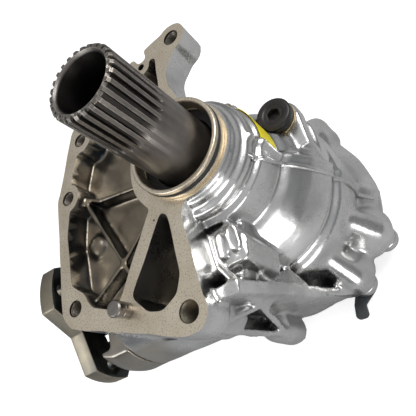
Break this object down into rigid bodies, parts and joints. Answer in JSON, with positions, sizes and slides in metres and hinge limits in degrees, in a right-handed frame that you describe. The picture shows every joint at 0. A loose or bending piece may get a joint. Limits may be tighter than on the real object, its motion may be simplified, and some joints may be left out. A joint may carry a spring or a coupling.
{
  "type": "transfer case",
  "caption": "Right-angle transfer case in a ribbed cast housing: hollow splined input shaft, bevel and spur gears inside, and a lobed output flange on one side.",
  "frame": {"origin": "where the input shaft's axis meets the machined mounting face", "axes": "+Z out of the mounting face along the input shaft, -X along the output shaft towards its flange; stands on its round end cover"},
  "size_m": [0.2417, 0.245, 0.301],
  "materials": {
    "cast_aluminium": "bright die cast, machined tan on the joint faces",
    "spline_steel": "dark heat treated, bright on the tooth edges",
    "zinc_bolt": "dull zinc",
    "turned_steel": "turned",
    "gear_steel": "ground teeth",
    "bearing_steel": "ground",
    "flange_steel": "dark oiled faces, turned rims",
    "pin_steel": "dark ground",
    "seal_rubber": "matte",
    "black_plug": "black oxide",
    "brass_washer": "dull",
    "yellow_label": "blank printed film",
    "black_bracket": "black coated sheet"
  },
  "bodies": {
    "case": {"main_case": "cast_aluminium", "output_housing": "cast_aluminium", "housing_bolts": "zinc_bolt", "end_cover": "cast_aluminium", "cover_bolts": "zinc_bolt", "input_front_bearing_outer_race": "bearing_steel", "input_rear_bearing_outer_race": "bearing_steel", "cross_front_bearing_outer_race": "bearing_steel", "cross_tail_bearing_outer_race": "bearing_steel", "output_front_bearing_outer_race": "bearing_steel", "output_tail_bearing_outer_race": "bearing_steel", "input_seal": "seal_rubber", "cover_seal": "seal_rubber", "output_seal": "seal_rubber", "collar_o_ring": "seal_rubber", "dowel_pin": "pin_steel", "filler_plug": "black_plug", "filler_washer": "brass_washer", "drain_plug": "zinc_bolt", "drain_washer": "brass_washer", "breather": "brass_washer", "blank_label": "yellow_label", "loom_bracket": "black_bracket"},
    "input_train": {"input_shaft": "spline_steel", "ring_carrier": "turned_steel", "ring_gear": "gear_steel", "ring_bolts": "zinc_bolt", "input_front_bearing_inner_race": "bearing_steel", "input_rear_bearing_inner_race": "bearing_steel", "front_spacer": "turned_steel", "rear_spacer": "turned_steel"},
    "cross_train": {"cross_pinion": "gear_steel", "cross_spur_gear": "gear_steel", "cross_front_bearing_inner_race": "bearing_steel", "cross_tail_bearing_inner_race": "bearing_steel", "cross_spacer": "turned_steel", "cross_tail_spacer": "turned_steel"},
    "output_train": {"output_shaft": "turned_steel", "output_spur_gear": "gear_steel", "companion_flange": "flange_steel", "output_nut": "pin_steel", "dust_deflector": "pin_steel", "output_front_bearing_inner_race": "bearing_steel", "output_tail_bearing_inner_race": "bearing_steel"},
    "input_front_bearing_cage": {"input_front_bearing_rollers": "bearing_steel"},
    "input_rear_bearing_cage": {"input_rear_bearing_rollers": "bearing_steel"},
    "cross_front_bearing_cage": {"cross_front_bearing_rollers": "bearing_steel"},
    "cross_tail_bearing_cage": {"cross_tail_bearing_rollers": "bearing_steel"},
    "output_front_bearing_cage": {"output_front_bearing_rollers": "bearing_steel"},
    "output_tail_bearing_cage": {"output_tail_bearing_rollers": "bearing_steel"}
  },
  "joints": [
    {"name": "input_spin", "type": "hinge", "parent": "case", "child": "input_train", "pos_m": [0, 0, 0], "axis": [0, 0, 1], "continuous": true},
    {"name": "cross_spin", "type": "hinge", "parent": "case", "child": "cross_train", "pos_m": [0, 0, -0.057], "axis": [-1, 0, 0], "continuous": true},
    {"name": "output_spin", "type": "hinge", "parent": "case", "child": "output_train", "pos_m": [0, -0.054, -0.057], "axis": [-1, 0, 0], "continuous": true},
    {"name": "input_front_bearing_roll", "type": "hinge", "parent": "case", "child": "input_front_bearing_cage", "pos_m": [0, 0, 0], "axis": [0, 0, 1], "continuous": true},
    {"name": "input_rear_bearing_roll", "type": "hinge", "parent": "case", "child": "input_rear_bearing_cage", "pos_m": [0, 0, 0], "axis": [0, 0, 1], "continuous": true},
    {"name": "cross_front_bearing_roll", "type": "hinge", "parent": "case", "child": "cross_front_bearing_cage", "pos_m": [0, 0, -0.057], "axis": [-1, 0, 0], "continuous": true},
    {"name": "cross_tail_bearing_roll", "type": "hinge", "parent": "case", "child": "cross_tail_bearing_cage", "pos_m": [0, 0, -0.057], "axis": [-1, 0, 0], "continuous": true},
    {"name": "output_front_bearing_roll", "type": "hinge", "parent": "case", "child": "output_front_bearing_cage", "pos_m": [0, -0.054, -0.057], "axis": [-1, 0, 0], "continuous": true},
    {"name": "output_tail_bearing_roll", "type": "hinge", "parent": "case", "child": "output_tail_bearing_cage", "pos_m": [0, -0.054, -0.057], "axis": [-1, 0, 0], "continuous": true}
  ],
  "couplings": [
    {"joint": "cross_spin", "follows": "input_spin", "ratio": 2.7143},
    {"joint": "output_spin", "follows": "input_spin", "ratio": -3.3929},
    {"joint": "input_front_bearing_roll", "follows": "input_spin", "ratio": 0.44},
    {"joint": "input_rear_bearing_roll", "follows": "input_spin", "ratio": 0.44},
    {"joint": "cross_front_bearing_roll", "follows": "input_spin", "ratio": 1.1415},
    {"joint": "cross_tail_bearing_roll", "follows": "input_spin", "ratio": 1.1415},
    {"joint": "output_front_bearing_roll", "follows": "input_spin", "ratio": -1.4269},
    {"joint": "output_tail_bearing_roll", "follows": "input_spin", "ratio": -1.437}
  ]
}
